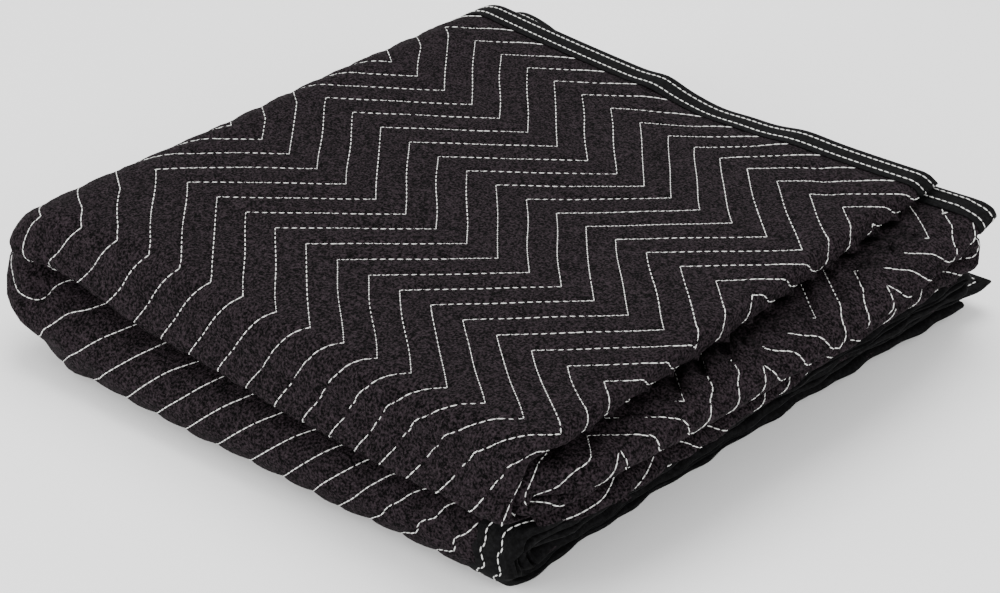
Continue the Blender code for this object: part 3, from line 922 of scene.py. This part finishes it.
def fibre_group():
    """Matted fibre: fine specks, soft mottles and a small height, from coordinates in metres."""
    group, source, sink = new_group(
        "matted_fibre",
        (
            ("Vector", "NodeSocketVector", None),
            ("Speck Scale", "NodeSocketFloat", 900.0),
            ("Mottle Scale", "NodeSocketFloat", 180.0),
            ("Speck Share", "NodeSocketFloat", 0.5),
        ),
        (("Shade", "NodeSocketFloat"), ("Height", "NodeSocketFloat")),
    )
    link = group.links.new
    speck = group.nodes.new("ShaderNodeTexNoise")
    speck.inputs["Detail"].default_value = 3.0
    speck.inputs["Roughness"].default_value = 0.6
    mottle = group.nodes.new("ShaderNodeTexNoise")
    mottle.inputs["Detail"].default_value = 2.0
    link(source.outputs["Vector"], speck.inputs["Vector"])
    link(source.outputs["Vector"], mottle.inputs["Vector"])
    link(source.outputs["Speck Scale"], speck.inputs["Scale"])
    link(source.outputs["Mottle Scale"], mottle.inputs["Scale"])
    mix = group.nodes.new("ShaderNodeMix")
    mix.data_type = "FLOAT"
    link(source.outputs["Speck Share"], mix.inputs[0])
    link(mottle.outputs[0], mix.inputs[2])
    link(speck.outputs[0], mix.inputs[3])
    spread_out = group.nodes.new("ShaderNodeMapRange")
    spread_out.inputs["From Min"].default_value = 0.43
    spread_out.inputs["From Max"].default_value = 0.66
    link(mix.outputs[0], spread_out.inputs["Value"])
    link(spread_out.outputs[0], sink.inputs["Shade"])
    link(speck.outputs[0], sink.inputs["Height"])
    return group


FIBRE = fibre_group()


# How much light the matt cloths mirror
CLOTH_SPECULAR = 0.06


def cloth_material(name, dark, light, roughness, scales, bump):
    """A matt fibrous cloth: two blacks mottled together, with a fibre bump."""
    material = bpy.data.materials.new(name)
    material.use_nodes = True
    nodes, link = material.node_tree.nodes, material.node_tree.links.new
    shader = nodes["Principled BSDF"]
    own_space = nodes.new("ShaderNodeTexCoord")
    fibre = nodes.new("ShaderNodeGroup")
    fibre.node_tree = FIBRE
    fibre.inputs["Speck Scale"].default_value = scales[0]
    fibre.inputs["Mottle Scale"].default_value = scales[1]
    fibre.inputs["Speck Share"].default_value = scales[2]
    link(own_space.outputs["Object"], fibre.inputs["Vector"])
    tint = nodes.new("ShaderNodeMix")
    tint.data_type = "RGBA"
    tint.inputs[6].default_value = (*dark, 1.0)
    tint.inputs[7].default_value = (*light, 1.0)
    link(fibre.outputs["Shade"], tint.inputs[0])
    link(tint.outputs[2], shader.inputs["Base Color"])
    relief = nodes.new("ShaderNodeBump")
    relief.inputs["Strength"].default_value = bump[0]
    relief.inputs["Distance"].default_value = bump[1]
    link(fibre.outputs["Height"], relief.inputs["Height"])
    link(relief.outputs["Normal"], shader.inputs["Normal"])
    shader.inputs["Roughness"].default_value = roughness
    shader.inputs["Specular IOR Level"].default_value = CLOTH_SPECULAR
    return material


GRID = [[flat_point(row, column) for column in across_lines()] for row in along_lines()]
BLACK_FACE = cloth_material(
    "black_face_cloth",
    dark=(0.0001, 0.0001, 0.0001),
    light=(0.0270, 0.0195, 0.0235),
    roughness=0.9,
    scales=(620.0, 190.0, 0.82),
    bump=(0.8, 0.0010),
)
cloth = build_cloth(GRID, BLACK_FACE)
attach(cloth, "root")
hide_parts("quilted_pad")


# The binding: one black woven tape folded over the raw edge all the way round, mitred at the
# corners and sewn down with two rows of white stitches, which pull small hollows into it.
TAPE_THICK = 0.0007
SEWN_GAP = 0.0003
ROW_OUTER = 0.0060
ROW_INNER = 0.0180
TAPE_HOLLOW = 0.00035
HOLLOW_HALF = 0.0015
TAPE_STEP = 0.006
# A point this near the edge of the flat pad lies on it
ON_EDGE = 1e-6


def tape_section():
    """Closed outline of the folded tape: distance in from the edge, and level in the pad."""
    top = CLOTH_THICK
    wrap = SEWN_GAP + TAPE_THICK
    leaf_top = [
        (TAPE_LEAF, top - 0.0002),
        (TAPE_LEAF - 0.0008, top),
        (ROW_INNER + HOLLOW_HALF, top),
        (ROW_INNER, top - TAPE_HOLLOW),
        (ROW_INNER - HOLLOW_HALF, top),
        (ROW_OUTER + HOLLOW_HALF, top),
        (ROW_OUTER, top - TAPE_HOLLOW),
        (ROW_OUTER - HOLLOW_HALF, top),
        (0.0, top - 0.0001),
        (-0.7 * wrap, top - 0.0007),
    ]
    leaf_under = [(d, top - level) for d, level in reversed(leaf_top)]
    wrapped = leaf_top + [(-wrap, 0.5 * top)] + leaf_under
    inside = [
        (TAPE_LEAF, TAPE_THICK),
        (-SEWN_GAP, TAPE_THICK),
        (-SEWN_GAP, top - TAPE_THICK),
        (TAPE_LEAF, top - TAPE_THICK),
    ]
    return wrapped + inside


def rim_stations(grid):
    """Flat points round the edge of the pad, close enough for the folds, corners kept."""
    rows, columns = len(grid), len(grid[0])
    flat = [p for row in grid for p in row]
    loop = [flat[index] for index in rim_order(rows, columns)]
    stations = []
    for (u0, v0), (u1, v1) in zip(loop, loop[1:] + loop[:1]):
        count = max(1, int(math.ceil((abs(u1 - u0) + abs(v1 - v0)) / TAPE_STEP)))
        for k in range(count):
            t = k / count
            stations.append((u0 + (u1 - u0) * t, v0 + (v1 - v0) * t))
    return stations


def inward(u, v):
    """Step from an edge point into the pad, both ways at a corner, where two leaves overlap."""
    step_u = (u < ON_EDGE) * 1.0 - (u > PAD_ALONG - ON_EDGE) * 1.0
    step_v = (v < ON_EDGE) * 1.0 - (v > PAD_ACROSS - ON_EDGE) * 1.0
    return step_u, step_v


def build_tape(grid, material):
    stations = rim_stations(grid)
    section = tape_section()
    flat, depth, faces = [], [], []
    for u, v in stations:
        step_u, step_v = inward(u, v)
        for distance, level in section:
            flat.append((u + step_u * distance, v + step_v * distance))
            depth.append(level)
    size = len(section)
    for k in range(len(stations)):
        near, far = k * size, ((k + 1) % len(stations)) * size
        for m in range(size):
            n = (m + 1) % size
            faces.append((near + m, near + n, far + n, far + m))
    return make_piece("edge_binding", place(flat, depth), faces, to_flat(flat), material)


BLACK_TAPE = cloth_material(
    "black_binding_tape",
    dark=(0.0006, 0.0006, 0.0007),
    light=(0.006, 0.006, 0.0065),
    roughness=0.8,
    scales=(1500.0, 400.0, 0.5),
    bump=(0.4, 0.0004),
)
tape = build_tape(GRID, BLACK_TAPE)
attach(tape, "root")
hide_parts("binding_tape")


# The quilting thread: white lockstitch rows in a zigzag, sunk a little into the pillows. Each
# stitch is a short round length of thread, laid end to end along the rows on the outer face.
STITCH_PITCH = 0.0052
STITCH_LENGTH = 0.0062
THREAD_ACROSS = 0.0009
# Share of its width that the thread's middle stands over the groove
THREAD_PROUD = 0.36
THREAD_COLOUR = (0.64, 0.64, 0.62, 1.0)
THREAD_SHEEN = 0.1


def thread_material():
    material = plain_material("white_thread", THREAD_COLOUR, 0.6)
    shader = material.node_tree.nodes["Principled BSDF"]
    shader.inputs["Sheen Weight"].default_value = THREAD_SHEEN
    return material


def stitch_tree():
    """Lays one short stitch after another along every open line of the input."""
    tree = bpy.data.node_groups.new("lay_stitches", "GeometryNodeTree")
    tree.interface.new_socket(name="Lines", in_out="INPUT", socket_type="NodeSocketGeometry")
    for label in ("Pitch", "Stitch Length", "Thread Width"):
        tree.interface.new_socket(name=label, in_out="INPUT", socket_type="NodeSocketFloat")
    tree.interface.new_socket(name="Thread", in_out="INPUT", socket_type="NodeSocketMaterial")
    tree.interface.new_socket(name="Stitches", in_out="OUTPUT", socket_type="NodeSocketGeometry")
    nodes, link = tree.nodes, tree.links.new
    source, sink = nodes.new("NodeGroupInput"), nodes.new("NodeGroupOutput")
    curve = nodes.new("GeometryNodeMeshToCurve")
    length = nodes.new("GeometryNodeSplineLength")
    half = nodes.new("ShaderNodeMath")
    half.operation = "MULTIPLY"
    half.inputs[1].default_value = 0.5
    stop = nodes.new("ShaderNodeMath")
    stop.operation = "SUBTRACT"
    trim = nodes.new("GeometryNodeTrimCurve")
    trim.mode = "LENGTH"
    resample = nodes.new("GeometryNodeResampleCurve")
    resample.mode = "LENGTH"
    tangent = nodes.new("GeometryNodeInputTangent")
    align = nodes.new("FunctionNodeAlignRotationToVector")
    align.axis = "Z"
    size = nodes.new("ShaderNodeCombineXYZ")
    bead = nodes.new("GeometryNodeMeshIcoSphere")
    bead.inputs["Radius"].default_value = 0.5
    bead.inputs["Subdivisions"].default_value = 1
    instance = nodes.new("GeometryNodeInstanceOnPoints")
    realize = nodes.new("GeometryNodeRealizeInstances")
    smooth = nodes.new("GeometryNodeSetShadeSmooth")
    finish = nodes.new("GeometryNodeSetMaterial")
    link(source.outputs["Lines"], curve.inputs[0])
    link(source.outputs["Pitch"], half.inputs[0])
    link(length.outputs["Length"], stop.inputs[0])
    link(half.outputs[0], stop.inputs[1])
    link(curve.outputs[0], trim.inputs["Curve"])
    link(half.outputs[0], trim.inputs[4])
    link(stop.outputs[0], trim.inputs[5])
    link(trim.outputs[0], resample.inputs["Curve"])
    link(source.outputs["Pitch"], resample.inputs["Length"])
    link(resample.outputs[0], instance.inputs["Points"])
    link(bead.outputs["Mesh"], instance.inputs["Instance"])
    link(tangent.outputs[0], align.inputs["Vector"])
    link(align.outputs[0], instance.inputs["Rotation"])
    link(source.outputs["Thread Width"], size.inputs["X"])
    link(source.outputs["Thread Width"], size.inputs["Y"])
    link(source.outputs["Stitch Length"], size.inputs["Z"])
    link(size.outputs[0], instance.inputs["Scale"])
    link(instance.outputs[0], realize.inputs[0])
    link(realize.outputs[0], smooth.inputs[0])
    link(smooth.outputs[0], finish.inputs["Geometry"])
    link(source.outputs["Thread"], finish.inputs["Material"])
    link(finish.outputs[0], sink.inputs[0])
    return tree


STITCHES = stitch_tree()
THREAD = thread_material()


def sew(name, lines, pitch, length, width):
    """Stitches along lines of points, as one plain mesh piece."""
    verts, edges = [], []
    for line in lines:
        first = len(verts)
        verts.extend([tuple(p) for p in line.tolist()])
        edges.extend([(first + k, first + k + 1) for k in range(len(line) - 1)])
    guide_mesh = bpy.data.meshes.new(name + "_guide")
    guide_mesh.from_pydata(verts, edges, [])
    guide = bpy.data.objects.new(name + "_guide", guide_mesh)
    bpy.context.scene.collection.objects.link(guide)
    modifier = guide.modifiers.new("sewing", "NODES")
    modifier.node_group = STITCHES
    values = {"Pitch": pitch, "Stitch Length": length, "Thread Width": width, "Thread": THREAD}
    for item in STITCHES.interface.items_tree:
        if item.in_out == "INPUT" and item.name in values:
            modifier[item.identifier] = values[item.name]
    bpy.context.view_layer.update()
    evaluated = guide.evaluated_get(bpy.context.evaluated_depsgraph_get())
    mesh = bpy.data.meshes.new_from_object(evaluated)
    mesh.name = name
    bpy.data.objects.remove(guide)
    piece = bpy.data.objects.new(name, mesh)
    bpy.context.scene.collection.objects.link(piece)
    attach(piece, "root")
    return piece


# Points on a leg of a row, and the fewest that are worth sewing where a part cuts it off
POINTS_PER_LEG = 54
FEWEST_POINTS = 6


def zigzag_lines(box):
    """Straight legs of the zigzag rows inside a box of the flat pad, as lines on the outer face."""
    low_u, high_u, low_v, high_v = box
    first = math.floor(float(zigzag_phase(low_u))) - 1
    last = math.ceil(float(zigzag_phase(high_u)))
    lines = []
    for leg in range(first, last):
        steps = range(POINTS_PER_LEG + 1)
        u = np.array([along_at(leg + k / POINTS_PER_LEG) for k in steps])
        swing = zigzag(np.clip(u, u[0] + 1e-7, u[-1] - 1e-7))
        start = math.floor((low_v - PHASE_ACROSS - ZIGZAG_WIDTH) / LINE_SPACING)
        stop = math.ceil((high_v - PHASE_ACROSS) / LINE_SPACING)
        for line in range(start, stop + 1):
            v = PHASE_ACROSS + line * LINE_SPACING + swing
            at_u, at_v = turned(u, v + wander(u, v))
            keep = (at_u >= low_u) & (at_u <= high_u)
            keep = keep & (at_v >= low_v) & (at_v <= high_v)
            if keep.sum() < FEWEST_POINTS:
                continue
            u_kept, v_kept = at_u[keep], at_v[keep]
            depth = CLOTH_THICK - edge_press(u_kept, v_kept) + quilt_relief(u_kept, v_kept)
            flat = np.stack([u_kept, v_kept], axis=1)
            lines.append(place(to_folding(flat), depth + THREAD_PROUD * THREAD_ACROSS))
    return lines


SEWN_PARTS = {
    "zigzag_stitches_outer": ((TAPE_LEAF, OUTER_END, TAPE_LEAF, 0.965),),
    "zigzag_stitches_ends": ((OUTER_END, PAD_ALONG - TAPE_LEAF, *LAYER_ENDS),),
    "zigzag_stitches_loop": (
        (LOOP_START, PAD_ALONG - TAPE_LEAF, LOOP[0], LAYER_ENDS[0]),
        (LOOP_START, PAD_ALONG - TAPE_LEAF, LAYER_ENDS[1], LOOP[1]),
    ),
}
for name, boxes in SEWN_PARTS.items():
    rows_of_thread = [line for box in boxes for line in zigzag_lines(box)]
    sew(name, rows_of_thread, STITCH_PITCH, STITCH_LENGTH, THREAD_ACROSS)


# The binding stitches: white lockstitch thread in two rows round the tape, one near the edge
# and one near its leaf. They go through both leaves, so they lie on the outer face and the
# inner one, and hold the tape to the cloth.
BIND_PITCH = 0.0050
BIND_LENGTH = 0.0048
BIND_WIDTH = 0.0010
BIND_LEVELS = (CLOTH_THICK + 0.0001, 0.0004)


def binding_lines(grid, distance, level):
    """The four sides of a stitch row at a distance in from the edge."""
    sides = [[], [], [], []]
    for u, v in rim_stations(grid):
        # each side: whether the station is on it, step inwards, place along it, its length
        checks = (
            (u < ON_EDGE, (1, 0), v, PAD_ACROSS),
            (v > PAD_ACROSS - ON_EDGE, (0, -1), u, PAD_ALONG),
            (u > PAD_ALONG - ON_EDGE, (-1, 0), v, PAD_ACROSS),
            (v < ON_EDGE, (0, 1), u, PAD_ALONG),
        )
        for side, (on_side, step, at, length) in zip(sides, checks):
            if on_side and distance <= at <= length - distance:
                side.append((at, u + step[0] * distance, v + step[1] * distance))
    lines = []
    for side in sides:
        flat = [(u, v) for _, u, v in sorted(side)]
        lines.append(place(flat, [level] * len(flat)))
    return lines


binding_rows = []
for row_distance in (ROW_OUTER, ROW_INNER):
    for level in BIND_LEVELS:
        binding_rows.extend(binding_lines(GRID, row_distance, level))
binding_thread = sew("binding_stitches", binding_rows, BIND_PITCH, BIND_LENGTH, BIND_WIDTH)
